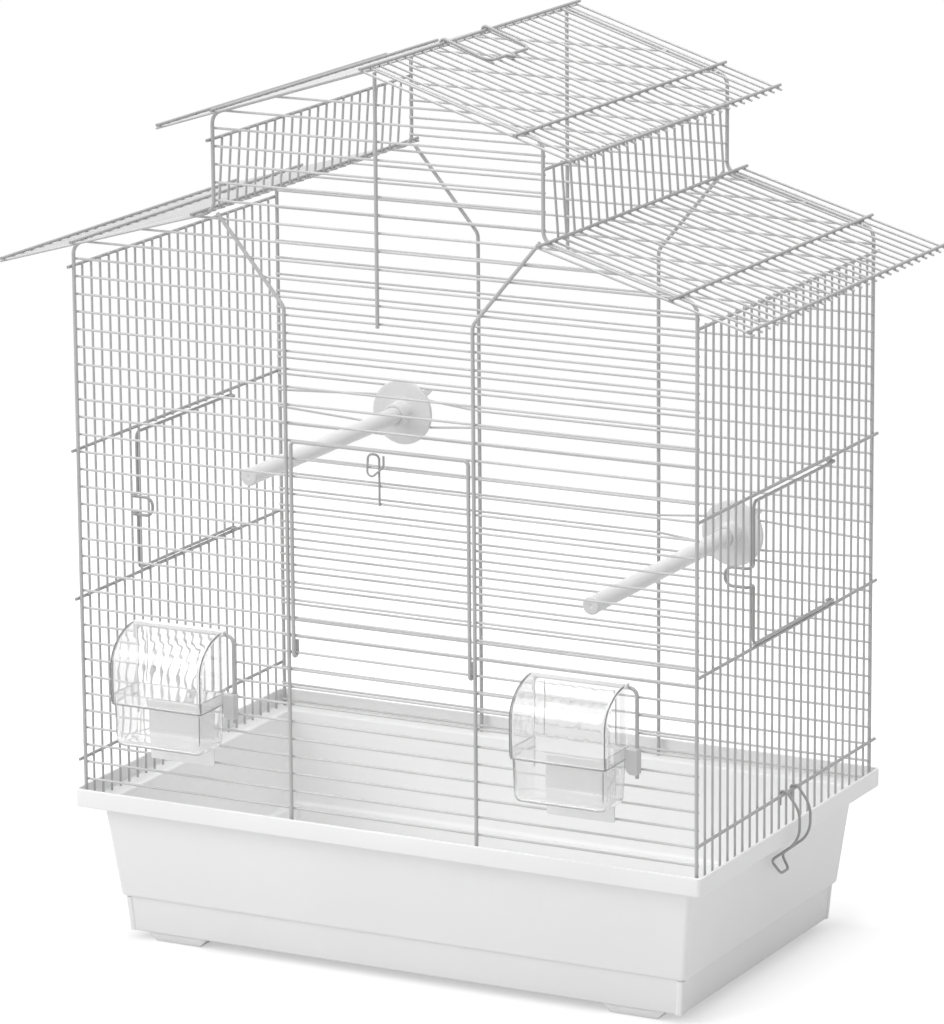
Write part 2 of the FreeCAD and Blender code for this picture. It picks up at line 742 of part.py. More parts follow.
feeder_pieces = {"cup": make_cup(), "hood": make_hood(), "clip": make_clip(), "back_plate": make_back_plate()}
perch_bar_numbers = {"left": left_perch_bar_number, "right": right_perch_bar_number}
for name, side in (("left", -1), ("right", 1)):
    save(name + "_wall_rails", make_wall_rails(side))
    save(name + "_wall_wires", make_wall_wires(side))
    upper_rail, upper_wires = make_upper_wall(side)
    save(name + "_upper_wall_rail", [upper_rail])
    save(name + "_upper_wall_wires", upper_wires)
    ridge_clear = mesh_radius * math.sin(math.radians(upper_slope)) + rest_gap
    save("upper_" + name + "_rafters",
         make_rafters(side, upper_roof_height, ridge_clear, upper_eave_rail + rafter_tip))
    save("upper_" + name + "_roof_rails",
         [make_roof_rail(side * x, upper_roof_height(x, 0)) for x in (upper_mid_rail, upper_eave_rail)])
    save("lower_" + name + "_rafters",
         make_rafters(side, lower_roof_height, lower_top_rail - rafter_tip, lower_eave_rail + rafter_tip))
    save("lower_" + name + "_roof_rails",
         [make_roof_rail(side * x, lower_roof_height(x, 0))
          for x in (lower_top_rail, lower_mid_rail, lower_eave_rail)])
    side_frame, side_wires = make_side_door(side)
    save(name + "_door_frame", [side_frame])
    save(name + "_door_wires", side_wires)
    save(name + "_tray_latch", [make_latch(side)])
    for piece, solid in feeder_pieces.items():
        place = point(side * feeder_centre - feeder_shift, 0, 0)
        save(name + "_feeder_" + piece, [solid.translated(place)])
    perch_z = bar_height(perch_bar_numbers[name]) + bar_pitch / 2
    perch_rod, perch_flange, perch_nut = make_perch(side * perch_spread, perch_z)
    save(name + "_perch", [perch_rod])
    save(name + "_perch_flange", [perch_flange])
    save(name + "_perch_nut", [perch_nut])
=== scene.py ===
import bmesh
import bpy
import numpy as np
from mathutils import Matrix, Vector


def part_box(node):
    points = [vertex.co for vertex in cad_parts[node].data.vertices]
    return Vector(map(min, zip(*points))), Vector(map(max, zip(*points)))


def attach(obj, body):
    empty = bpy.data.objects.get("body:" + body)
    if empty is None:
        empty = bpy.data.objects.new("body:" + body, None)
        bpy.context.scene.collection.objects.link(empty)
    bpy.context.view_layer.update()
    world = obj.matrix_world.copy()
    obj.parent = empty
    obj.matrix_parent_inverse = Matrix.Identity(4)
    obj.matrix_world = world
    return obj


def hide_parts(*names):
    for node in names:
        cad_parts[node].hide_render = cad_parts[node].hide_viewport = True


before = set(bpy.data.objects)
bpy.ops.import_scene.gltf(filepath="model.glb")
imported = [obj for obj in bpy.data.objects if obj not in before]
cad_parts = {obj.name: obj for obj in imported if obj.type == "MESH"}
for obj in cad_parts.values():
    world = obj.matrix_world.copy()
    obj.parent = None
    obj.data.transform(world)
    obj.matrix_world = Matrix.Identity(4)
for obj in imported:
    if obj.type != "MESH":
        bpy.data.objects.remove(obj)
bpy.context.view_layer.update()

# Tray. A basin of white polypropylene, injection moulded in one piece with a stepped plinth, low feet near
# its corners and a rim. The wire top stands on the rim's ledge, inside the lip, and every edge is softly
# rounded. Sizes are in millimetres here and below.
mm = 0.001
tray_wall = 2.2
outer_corner = 4.0
inner_corner = 2.5
rim_lip = 14.0
rim_overhang = 15.0
tray_taper = 8.5
plinth_top = 33.5
plinth_step = 3.5
plinth_taper = 2.0
under_face_inset = 45.0
upper_face_inset = 60.0
foot_height = 6.5
foot_length = 37.0
foot_width = 18.0
foot_slope = 6.5
foot_lean = 0.6
foot_corner = 0.9
foot_end_inset = 20.0
foot_side_inset = 2.0
foot_root = 1.0
sole_inset = 8.0
post_half = 2.6
post_stand = 0.7


def node_box(node):
    """A CAD node's lowest and highest corner, in millimetres."""
    low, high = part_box(node)
    return np.array(low) / mm, np.array(high) / mm


def rounded_line(corners, reach, closed=False, steps=6):
    """A line through corners, each rounded off. With a and b the points that lie a given reach before and
    after the corner c, the rounding is the parabola (1 - s)^2 a + 2 s (1 - s) c + s^2 b, with s going from 0
    to 1."""
    before = np.roll(corners, 1, axis=0)
    after = np.roll(corners, -1, axis=0)
    if not closed:
        ends = corners[[0, -1]]
        before, corners, after = before[1:-1], corners[1:-1], after[1:-1]
    reach = np.broadcast_to(reach, len(corners))[:, None]
    a = corners + (before - corners) / np.linalg.norm(before - corners, axis=1, keepdims=True) * reach
    b = corners + (after - corners) / np.linalg.norm(after - corners, axis=1, keepdims=True) * reach
    s = np.linspace(0, 1, steps)[None, :, None]
    line = (1 - s) ** 2 * a[:, None] + 2 * s * (1 - s) * corners[:, None] + s ** 2 * b[:, None]
    line = line.reshape(-1, corners.shape[1])
    return line if closed else np.concatenate([ends[:1], line, ends[1:]])


def rounded_rings(half_x, half_y, corner, height, middle_x, middle_y, steps=7):
    """Rounded rectangles, one for each level. Round the corner with signs p and q the point at angle t is
    p (half_x - corner) + corner cos t, q (half_y - corner) + corner sin t, while t runs through that
    quarter."""
    t = (np.arange(4)[:, None] * np.pi / 2 + np.linspace(0, np.pi / 2, steps)).ravel()
    p = np.repeat([1, -1, -1, 1], steps)
    q = np.repeat([1, 1, -1, -1], steps)
    levels = np.broadcast_arrays(half_x, half_y, corner, height, middle_x, middle_y)
    columns = [np.array(level, float)[:, None] for level in levels]
    half_x, half_y, corner, height, middle_x, middle_y = columns
    x = middle_x + p * (half_x - corner) + corner * np.cos(t)
    y = middle_y + q * (half_y - corner) + corner * np.sin(t)
    return np.stack([x, y, np.broadcast_to(height, x.shape)], axis=-1)


def skin(rings, first=0):
    """Faces of a closed form: four-sided ones from each ring to the next, and one over each end ring."""
    levels, around = rings.shape[:2]
    here = first + np.arange(levels * around).reshape(levels, around)
    beside = np.roll(here, -1, axis=1)
    sides = np.stack([here[:-1], beside[:-1], beside[1:], here[1:]], axis=-1).reshape(-1, 4)
    return sides.tolist() + [here[0, ::-1].tolist(), here[-1].tolist()]


def make_piece(name, forms, material, body, crease=40):
    """One object from closed forms given as rings in millimetres, smooth up to the crease angle in degrees,
    on its body."""
    points = []
    faces = []
    for rings in forms:
        faces += skin(rings, sum(len(group) for group in points))
        points.append(rings.reshape(-1, 3))
    mesh = bpy.data.meshes.new(name)
    mesh.from_pydata((np.concatenate(points) * mm).tolist(), [], faces)
    work = bmesh.new()
    work.from_mesh(mesh)
    bmesh.ops.recalc_face_normals(work, faces=work.faces)
    work.to_mesh(mesh)
    work.free()
    mesh.shade_smooth()
    mesh.set_sharp_from_angle(angle=np.radians(crease))
    mesh.materials.append(material)
    piece = bpy.data.objects.new(name, mesh)
    bpy.context.scene.collection.objects.link(piece)
    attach(piece, body)
    return piece


def linear(code):
    """An sRGB hex colour as linear light: the curve's straight foot up to 0.04045, a power of 2.4 above."""
    part = np.array([int(code[i:i + 2], 16) for i in (1, 3, 5)]) / 255
    light = np.where(part <= 0.04045, part / 12.92, ((part + 0.055) / 1.055) ** 2.4)
    return (*light.tolist(), 1.0)


def add(tree, kind, sockets=None, **settings):
    """Adds a node with its settings, and sets each socket to a value or links it to another's output."""
    node = tree.nodes.new(kind)
    for name, value in settings.items():
        setattr(node, name, value)
    for name, value in (sockets or {}).items():
        if isinstance(value, bpy.types.NodeSocket):
            tree.links.new(value, node.inputs[name])
        else:
            node.inputs[name].default_value = value
    return node


def blank_material(name):
    """A new material and its empty node tree."""
    material = bpy.data.materials.new(name)
    material.use_nodes = True
    material.node_tree.nodes.clear()
    return material, material.node_tree


# Moulded polypropylene: a soft waxy white with a dull gloss, very slightly cloudy where the melt flowed,
# and a fine spark-eroded grain. The grain is drawn about three times as coarse as the real one so that it
# shows.
flow_cloud = 80.0
mould_grain = 1.2
grain_depth = 0.02
polypropylene, tree = blank_material("moulded white polypropylene")
place = add(tree, "ShaderNodeTexCoord").outputs["Object"]
cloud = add(tree, "ShaderNodeTexNoise", {"Vector": place, "Scale": 1 / (flow_cloud * mm), "Detail": 3.0})
grain = add(tree, "ShaderNodeTexNoise", {"Vector": place, "Scale": 1 / (mould_grain * mm), "Detail": 2.0})
tint = add(tree, "ShaderNodeMix", {0: cloud.outputs["Fac"], 6: linear("#EEEEEE"), 7: linear("#F5F5F5")},
           data_type="RGBA")
gloss = add(tree, "ShaderNodeMapRange", {"Value": cloud.outputs["Fac"], "To Min": 0.36, "To Max": 0.46})
relief = add(tree, "ShaderNodeBump", {
    "Height": grain.outputs["Fac"], "Strength": 0.35, "Distance": grain_depth * mm})
shader = add(tree, "ShaderNodeBsdfPrincipled", {
    "Base Color": tint.outputs[2], "Roughness": gloss.outputs["Result"], "IOR": 1.49,
    "Normal": relief.outputs["Normal"]})
add(tree, "ShaderNodeOutputMaterial", {"Surface": shader.outputs["BSDF"]})

tray_low, tray_high = node_box("tray")
tray_half = (tray_high - tray_low)[:2] / 2
tray_middle = (tray_high + tray_low)[:2] / 2
rim_top = tray_high[2]
ledge_under = rim_top - rim_lip
basin_foot = rim_overhang + tray_taper
plinth_head = basin_foot + plinth_step
plinth_foot = plinth_head + plinth_taper

# The wall's section goes up the outside and down the inside, which lies a wall's thickness away. Each point
# holds how far in from the rim it lies, its height, and the plan's corner radius there. It starts and ends
# on the floor, whose flat middle is one face below and one above. Each rounding is how far from its corner
# the curve starts.
outside = np.array([
    [under_face_inset, foot_height], [plinth_foot, foot_height], [plinth_head, plinth_top],
    [basin_foot, plinth_top], [rim_overhang, ledge_under], [0.0, ledge_under], [0.0, rim_top]])
inside = outside[::-1] + tray_wall
inside[0, 1] = rim_top
inside[-1, 0] = upper_face_inset
tray_section = np.concatenate([
    np.insert(outside, 2, outer_corner, axis=1), np.insert(inside, 2, inner_corner, axis=1)])
tray_rounding = np.array([1.6, 0.6, 3.2, 2.0, 1.6, 0.9, 0.9, 0.9, 1.6, 3.0, 1.5, 3.0])
tray_line = rounded_line(tray_section, tray_rounding)
tray_forms = [rounded_rings(
    tray_half[0] - tray_line[:, 0], tray_half[1] - tray_line[:, 0], tray_line[:, 2], tray_line[:, 1],
    tray_middle[0], tray_middle[1])]

# A foot's line holds how far past its sole the foot reaches at each end, and height. A corner post's rows
# hold the share of the plinth's taper, height, and the post's own corner radius.
plinth_half = tray_half - plinth_foot
foot_centre = plinth_half - [foot_end_inset + foot_length / 2, foot_side_inset + foot_width / 2]
foot_section = np.array([
    [-sole_inset, 0.0], [0.0, 0.0], [foot_slope, foot_height], [foot_slope, foot_height + foot_root]])
foot_rounding = np.array([1.0, 0.4])
foot_line = rounded_line(foot_section, foot_rounding)
foot_half_x = foot_length / 2 + foot_line[:, 0]
foot_half_y = foot_width / 2 - foot_lean + np.minimum(foot_line[:, 0], foot_lean)
post_line = np.array([[0.0, 6.8, 1.0], [0.0, 7.4, 1.6], [1.0, 31.6, 1.6], [1.0, 32.4, 1.2]])
post_at = plinth_half + plinth_taper * post_line[:, :1] - post_half + post_stand
for sign_x in (-1, 1):
    for sign_y in (-1, 1):
        tray_forms.append(rounded_rings(
            foot_half_x, foot_half_y, foot_corner, foot_line[:, 1],
            tray_middle[0] + sign_x * foot_centre[0], tray_middle[1] + sign_y * foot_centre[1]))
        tray_forms.append(rounded_rings(
            post_half, post_half, post_line[:, 2], post_line[:, 1],
            tray_middle[0] + sign_x * post_at[:, 0], tray_middle[1] + sign_y * post_at[:, 1], steps=5))
tray_shell = make_piece("tray_shell", tray_forms, polypropylene, "cage")
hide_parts("tray")

# Front and back panels. Each has a bent outline and three uprights of thicker wire, and level bars spot
# welded across their inner side. The front bars stop at the door and at two small wire frames that carry
# the feeders.
panel_foot = 107.0
panel_half = 248.5
lower_eave = 527.0
lower_head = 560.3
upper_half = 131.0
upper_eave = 630.8
gable_top = 671.9
upright_half = 75.3
upright_bend = 496.3
upright_head = 559.4
upright_head_half = 128.2
centre_upright_foot = 488.0
first_bar = 113.0
bar_pitch = 13.0
bar_count = 42
first_feeder_bar = 6
feeder_bar_count = 5
feeder_leg_x = [-202.5, -121.3, 121.3, 202.5]
panel_bead = [1.5, 0.8, 1.4]

# Stoved enamel on wire: pale grey with a satin gloss. The coat is a little thick and thin along the wire,
# which gives slow changes of tone, and it dries slightly wavy. The wire has one enamel throughout; its three
# tones are painted light and shade: bars painted palest, frame wire between, and rails darkest, as if
# shaded.
coat_patch = 45.0
coat_wave = 4.0
wave_depth = 0.08
enamel_with_painted_shade = {}
# Painted shade: one enamel in three tones, palest on bars, darkest on rails and the wires given the rail
# tone
for wire, dark, pale in (("bar", "#BABABA", "#CECECE"), ("frame", "#AEAEAE", "#C3C3C3"),
                         ("rail", "#979797", "#ADADAD")):
    enamel_with_painted_shade[wire], tree = blank_material("grey stoved enamel on " + wire + " wire")
    place = add(tree, "ShaderNodeTexCoord").outputs["Object"]
    patch = add(tree, "ShaderNodeTexNoise", {
        "Vector": place, "Scale": 1 / (coat_patch * mm), "Detail": 2.0})
    wave = add(tree, "ShaderNodeTexNoise", {
        "Vector": place, "Scale": 1 / (coat_wave * mm), "Detail": 1.0})
    tint = add(tree, "ShaderNodeMix", {0: patch.outputs["Fac"], 6: linear(dark), 7: linear(pale)},
               data_type="RGBA")
    gloss = add(tree, "ShaderNodeMapRange", {"Value": wave.outputs["Fac"], "To Min": 0.26, "To Max": 0.4})
    relief = add(tree, "ShaderNodeBump", {
        "Height": wave.outputs["Fac"], "Strength": 0.4, "Distance": wave_depth * mm})
    shader = add(tree, "ShaderNodeBsdfPrincipled", {
        "Base Color": tint.outputs[2], "Roughness": gloss.outputs["Result"], "IOR": 1.52,
        "Normal": relief.outputs["Normal"]})
    add(tree, "ShaderNodeOutputMaterial", {"Surface": shader.outputs["BSDF"]})


def coat(material, *names):
    """Gives CAD nodes that keep their shape their finish."""
    for name in names:
        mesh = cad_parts[name].data
        mesh.materials.clear()
        mesh.materials.append(material)


def beads(x, y, z, half):
    """Weld beads, one at each place: three rings of a ball, six points in each, stretched to the half sizes
    along X, Y and Z."""
    polar = np.radians([35.0, 90.0, 145.0])[:, None]
    around = np.radians(np.arange(0, 360, 60))[None, :]
    ball = np.stack([np.sin(polar) * np.cos(around), np.sin(polar) * np.sin(around),
                     np.cos(polar) * np.ones_like(around)], axis=-1)
    places = np.stack([np.ravel(a) for a in np.broadcast_arrays(x, y, z)], axis=-1)
    return list(places[:, None, None, :] + ball * half)


def weld(name, forms, body):
    """Weld beads as one piece, under the same enamel as the frame wire."""
    make_piece(name, forms, enamel_with_painted_shade["frame"], body, crease=80)


bar_z = first_bar + bar_pitch * np.arange(bar_count)
outline_x = np.interp(bar_z, [panel_foot, lower_eave, lower_head, upper_eave, gable_top],
                      [panel_half, panel_half, upper_half, upper_half, 0.0])
upright_x = np.interp(bar_z, [panel_foot, upright_bend, upright_head],
                      [upright_half, upright_half, upright_head_half])
upright_bars = bar_z < upright_head
feeder_bar_z = bar_z[first_feeder_bar:first_feeder_bar + feeder_bar_count]
for panel, inner in (("front", 1), ("back", 0)):
    weld_y = node_box(panel + "_uprights")[inner][1]
    crossings = [(side * outline_x, bar_z) for side in (-1, 1)]
    crossings += [(side * upright_x[upright_bars], bar_z[upright_bars]) for side in (-1, 1)]
    crossings += [(0.0, bar_z[bar_z > centre_upright_foot])]
    if panel == "front":
        crossings += [(x, feeder_bar_z) for x in feeder_leg_x]
    panel_beads = [bead for x, z in crossings for bead in beads(x, weld_y, z, panel_bead)]
    weld(panel + "_panel_welds", panel_beads, "cage")
    coat(enamel_with_painted_shade["frame"], panel + "_outline", panel + "_uprights")
    coat(enamel_with_painted_shade["bar"], panel + "_cross_bars")
coat(enamel_with_painted_shade["frame"], "feeder_frames")

# Side walls. Upright wires stand on the tray's ledge and are spot welded to four rails, which lie outside
# them and run past the corners. Above the lower roof a short wall of upright wires carries the eaves of the
# upper roof.
wall_depth = 298.0
wall_gaps = 24
wall_rail_z = np.array([141.7, 263.2, 374.1, 510.3])
upper_rail_z = 611.6
rafters_in_half = 11
gable_share_of_pitch = 0.64
wall_bead = [0.7, 1.3, 1.4]
wall_y = tray_middle[1] - wall_depth / 2 + wall_depth / wall_gaps * np.arange(1, wall_gaps)
rafter_pitch = wall_depth / 2 / (rafters_in_half + gable_share_of_pitch)
upper_wall_y = tray_middle[1] + rafter_pitch * (np.arange(-rafters_in_half, rafters_in_half) + 0.5)
for side, outer in (("left", 0), ("right", 1)):
    wall_x = node_box(side + "_wall_wires")[outer][0]
    upper_x = node_box(side + "_upper_wall_rail")[1 - outer][0]
    wall_beads = beads(wall_x, wall_y[:, None], wall_rail_z[None, :], wall_bead)
    wall_beads += beads(upper_x, upper_wall_y, upper_rail_z, wall_bead)
    weld(side + "_wall_welds", wall_beads, "cage")
    coat(enamel_with_painted_shade["frame"], side + "_wall_wires", side + "_upper_wall_wires")
    coat(enamel_with_painted_shade["rail"], side + "_wall_rails", side + "_upper_wall_rail")

# Roofs. Straight wires run down each slope, and rails spot welded over them rest on the panels' outlines.
# The two upper slopes meet under the ridge rail, and the lower ones start at the foot of the short walls.
rail_to_weld = 1.1
rafters_past_gable = 2
roof_bead = [1.4, 1.3, 0.8]
last_rafter = rafters_in_half + rafters_past_gable
rafter_y = tray_middle[1] + rafter_pitch * np.arange(-last_rafter, last_rafter + 1)
for tier, rail_x, top_x, top_z, slope in (("upper", [119.7, 163.7], 0.0, 674.5, 17.4),
                                          ("lower", [137.2, 237.9, 296.6], 137.2, 561.1, 15.8)):
    fall = np.radians(slope)
    under_x = np.array(rail_x) - rail_to_weld * np.sin(fall)
    under_z = top_z - (np.array(rail_x) - top_x) * np.tan(fall) - rail_to_weld * np.cos(fall)
    for side, sign in (("left", -1), ("right", 1)):
        roof = tier + "_" + side
        roof_beads = beads(sign * under_x[:, None], rafter_y[None, :], under_z[:, None], roof_bead)
        weld(roof + "_roof_welds", roof_beads, "cage")
        coat(enamel_with_painted_shade["frame"], roof + "_rafters")
        coat(enamel_with_painted_shade["rail"], roof + "_roof_rails")
coat(enamel_with_painted_shade["rail"], "ridge_rail")

# Front door. A frame bent from one wire hooks round a bar at its foot, with level bars spot welded inside
# it and a small wire catch whose finger loops stand under its head.
first_door_bar = 11
door_bar_count = 11
door_bead = [1.3, 0.7, 1.3]
door_low, door_high = node_box("front_door_bars")
door_ends = door_high[0] * np.array([-1, 1])
door_bar_z = bar_z[first_door_bar:first_door_bar + door_bar_count]
door_beads = beads(door_ends[:, None], door_low[1], door_bar_z[None, :], door_bead)
weld("front_door_welds", door_beads, "front_door")
coat(enamel_with_painted_shade["frame"], "front_door_frame")
coat(enamel_with_painted_shade["bar"], "front_door_bars")
coat(enamel_with_painted_shade["rail"], "front_door_catch")

# Side doors. Each is a bent frame that swings on one wall wire, with upright wires spot welded inside it
# and a hairpin bent into its free side to hold it shut.
first_door_wire = 7
door_wire_count = 10
side_door_bead = [0.7, 1.3, 1.2]
door_wire_y = wall_y[first_door_wire:first_door_wire + door_wire_count]
for side, outer in (("left", 0), ("right", 1)):
    wires = node_box(side + "_door_wires")
    wire_ends = np.array([wires[0][2], wires[1][2]])
    swing_beads = beads(wires[outer][0], door_wire_y[:, None], wire_ends[None, :], side_door_bead)
    weld(side + "_door_welds", swing_beads, side + "_door")
    coat(enamel_with_painted_shade["rail"], side + "_door_frame")
    coat(enamel_with_painted_shade["frame"], side + "_door_wires")

# Latches and handle. Each is one bent wire: the latches hang on the lowest side rails and hook under the
# tray's rim, and the handle turns on the ridge rail.
# The latches and handle take the darkest tone, which is painted shade
coat(enamel_with_painted_shade["rail"], "left_tray_latch", "right_tray_latch", "carry_handle")

# Feeders. A cup and a hood of clear polystyrene, moulded thin, with a frosted lip that lies over the
# frame's head wire, a grey clip that grips the frame's leg, and a milky plate that hangs behind the cup.
feeder_wall = 1.5
cup_height = 40.0
cup_draft = 0.6
cup_floor_inset = 12.0
cup_inner_floor_inset = 14.0
collar_foot = 31.4
collar_thickness = 1.0
collar_stand = 1.2
skirt = 7.4
skirt_room = 1.7
hood_rise = 27.0
hood_corner = 2.0
crown_turn = 88.5
crown_drop = 0.25
crown_hollow = 0.25
crown_corner_share = 0.8
crown_hollow_share = 0.9
hollow_corner_share = 0.5
ripple_depth = 0.14
ripple_fade = 6.0
# Sizes of the thin grey tubes that are painted shade along the clear edges, from here to the step's bend
edge_radius = 0.55
edge_inset = 1.2 * edge_radius
edge_gap = 1.0
arch_shade_turn = 80.0
corner_shade_radius = 0.7 * edge_radius
corner_shade_inset = 2.3
corner_shade_foot = 8.0
corner_shade_head = 31.0
guide_shade_radius = 0.8 * edge_radius
guide_inset = 10.4
guide_head_drop = 6.0
step_shade_drop = 0.6
step_shade_bend = 2.0
lip_depth = 2.8
lip_height = 3.6
lip_riser_gap = 0.2
lip_soft_end = 0.985
ledge_height = 2.0
clip_cut = 3.5
clip_groove_inset = 4.3
clip_groove_width = 3.4
clip_end_size = 0.92
plate_edge = 4.0
plate_rounding = 0.5
plate_corner = 1.2

# Each row is a corner of the cup's wall: in from the collar's front and sides, in from its back, height,
# and the plan's corner radius there
cup_section = np.array([
    [cup_floor_inset, cup_floor_inset, 0.0, 2.0],
    [collar_stand + cup_draft, 0.0, 0.0, 5.0],
    [collar_stand, 0.0, collar_foot, 3.0],
    [0.0, 0.0, collar_foot, 3.0],
    [0.0, 0.0, collar_foot + collar_thickness, 3.0],
    [skirt_room, 0.0, collar_foot + collar_thickness, 2.4],
    [skirt_room, 0.0, cup_height, 2.4],
    [skirt_room + feeder_wall, feeder_wall, cup_height, 1.6],
    [collar_stand + cup_draft + feeder_wall, feeder_wall, feeder_wall, 4.0],
    [cup_inner_floor_inset, cup_floor_inset, feeder_wall, 2.0]])
cup_rounding = np.array([5.5, 0.3, 0.3, 0.3, 0.3, 0.5, 0.5, 4.5])
lip_rounding = np.array([0.6, 0.6, 0.3, 0.7, 0.7, 1.2])
clip_rounding = np.array([0.8, 0.8, 0.8, 0.3, 0.3, 0.3, 0.3, 0.8])
clip_levels = np.array([0.0, 0.5, 1.5, 2.5, 3.5, 18.0, 18.5])

# Clear polystyrene: water-white and glossy, and it bends light strongly at its edges. Slow swirls from
# moulding make it a little duller in places. Lamps and soft light go through it, so that what lies behind
# it is lit.
swirl = 14.0
clear, tree = blank_material("clear polystyrene")
place = add(tree, "ShaderNodeTexCoord").outputs["Object"]
flow = add(tree, "ShaderNodeTexNoise", {"Vector": place, "Scale": 1 / (swirl * mm), "Detail": 2.0})
gloss = add(tree, "ShaderNodeMapRange", {"Value": flow.outputs["Fac"], "To Min": 0.0, "To Max": 0.03})
shader = add(tree, "ShaderNodeBsdfPrincipled", {
    "Base Color": linear("#FAFAFA"), "Roughness": gloss.outputs["Result"], "IOR": 1.57,
    "Transmission Weight": 0.88})
path = add(tree, "ShaderNodeLightPath")
passing = add(tree, "ShaderNodeMath", {0: path.outputs["Is Shadow Ray"], 1: path.outputs["Is Diffuse Ray"]},
              operation="MAXIMUM")
film = add(tree, "ShaderNodeBsdfTransparent", {"Color": linear("#F6F6F6")})
both = add(tree, "ShaderNodeMixShader", {
    0: passing.outputs["Value"], 1: shader.outputs["BSDF"], 2: film.outputs["BSDF"]})
add(tree, "ShaderNodeOutputMaterial", {"Surface": both.outputs["Shader"]})

# Painted shade along the edges of the clear polystyrene: where light runs a long way inside the plastic its
# edges look grey, so grey tubes are drawn there, unevenly so where the melt swirled.
painted_edge_shade, tree = blank_material("painted shade on clear polystyrene edges")
place = add(tree, "ShaderNodeTexCoord").outputs["Object"]
flow = add(tree, "ShaderNodeTexNoise", {"Vector": place, "Scale": 1 / (swirl * mm), "Detail": 2.0})
tint = add(tree, "ShaderNodeMix", {0: flow.outputs["Fac"], 6: linear("#8A8A8A"), 7: linear("#B4B4B4")},
           data_type="RGBA")
shader = add(tree, "ShaderNodeBsdfPrincipled", {
    "Base Color": tint.outputs[2], "Roughness": 0.12, "IOR": 1.57, "Transmission Weight": 0.5})
add(tree, "ShaderNodeOutputMaterial", {"Surface": shader.outputs["BSDF"]})

# Frosted polystyrene of the lip: the same plastic with a blasted skin, so it looks white and lets little
# through. The blasting's grit is drawn much coarser than the real one so that it shows.
frost_grit = 1.5
frosted, tree = blank_material("frosted polystyrene")
place = add(tree, "ShaderNodeTexCoord").outputs["Object"]
frost = add(tree, "ShaderNodeTexNoise", {"Vector": place, "Scale": 1 / (frost_grit * mm), "Detail": 2.0})
tint = add(tree, "ShaderNodeMix", {0: frost.outputs["Fac"], 6: linear("#F6F6F6"), 7: linear("#FFFFFF")},
           data_type="RGBA")
shader = add(tree, "ShaderNodeBsdfPrincipled", {
    "Base Color": tint.outputs[2], "Roughness": 0.3, "IOR": 1.57})
add(tree, "ShaderNodeOutputMaterial", {"Surface": shader.outputs["BSDF"]})

# Polypropylene, milky in the plate and pale grey in the clip: cloudy, with a dull gloss and a faintly
# uneven face where the melt cooled.
melt_cloud = 9.0
melt_depth = 0.05
cloudy = {}
for name, dark, pale in (("milky", "#E2E2E2", "#ECECEC"), ("grey", "#C8C8C8", "#D4D4D4")):
    cloudy[name], tree = blank_material(name + " moulded polypropylene")
    place = add(tree, "ShaderNodeTexCoord").outputs["Object"]
    cloud = add(tree, "ShaderNodeTexNoise", {
        "Vector": place, "Scale": 1 / (melt_cloud * mm), "Detail": 3.0})
    tint = add(tree, "ShaderNodeMix", {0: cloud.outputs["Fac"], 6: linear(dark), 7: linear(pale)},
               data_type="RGBA")
    relief = add(tree, "ShaderNodeBump", {
        "Height": cloud.outputs["Fac"], "Strength": 0.3, "Distance": melt_depth * mm})
    shader = add(tree, "ShaderNodeBsdfPrincipled", {
        "Base Color": tint.outputs[2], "Roughness": 0.42, "IOR": 1.49, "Normal": relief.outputs["Normal"]})
    add(tree, "ShaderNodeOutputMaterial", {"Surface": shader.outputs["BSDF"]})


def ripple(x, z):
    """Waves left in the hood's outer skin: 0.5 plus half the mean of five plane waves, 7 to 17 mm long. The
    melt ran upward, so the waves that lie level are the low ones."""
    turn = np.radians([12.0, 71.0, 118.0, 152.0, 95.0])
    length = np.array([17.0, 11.0, 8.5, 7.0, 13.0])
    start = np.array([0.4, 2.1, 4.4, 1.2, 5.3])
    swell = np.array([1.0, 0.4, 0.5, 1.0, 0.4])
    across = x[..., None] * np.cos(turn) + z[..., None] * np.sin(turn)
    return 0.5 + (swell * np.sin(2 * np.pi * across / length + start)).mean(axis=-1) / 2


def u_line(half, depth, corner, side_steps=14, corner_steps=6, front_steps=56):
    """A U in plan, one for each level: along the left side from the back, round a corner, across the front,
    and the same on the right. The corners are quarter circles. Gives x, and how far y lies in front of the
    back."""
    down = np.linspace(0, 1, side_steps)
    t = np.linspace(0, np.pi / 2, corner_steps)[1:-1]
    along = np.linspace(-1, 1, front_steps)
    half, depth, corner = (np.array(a, float)[:, None] for a in np.broadcast_arrays(half, depth, corner))
    straight = np.maximum(depth - corner, 0)
    side_y = straight * down
    bend_x = half - corner + corner * np.cos(t)
    bend_y = straight + corner * np.sin(t)
    front_x = (half - corner) * along
    side_x = np.broadcast_to(half, side_y.shape)
    front_y = np.broadcast_to(straight + corner, front_x.shape)
    x = np.concatenate([-side_x, -bend_x, front_x, bend_x[:, ::-1], side_x], axis=1)
    y = np.concatenate([side_y, bend_y, front_y, bend_y[:, ::-1], side_y[:, ::-1]], axis=1)
    return x, y


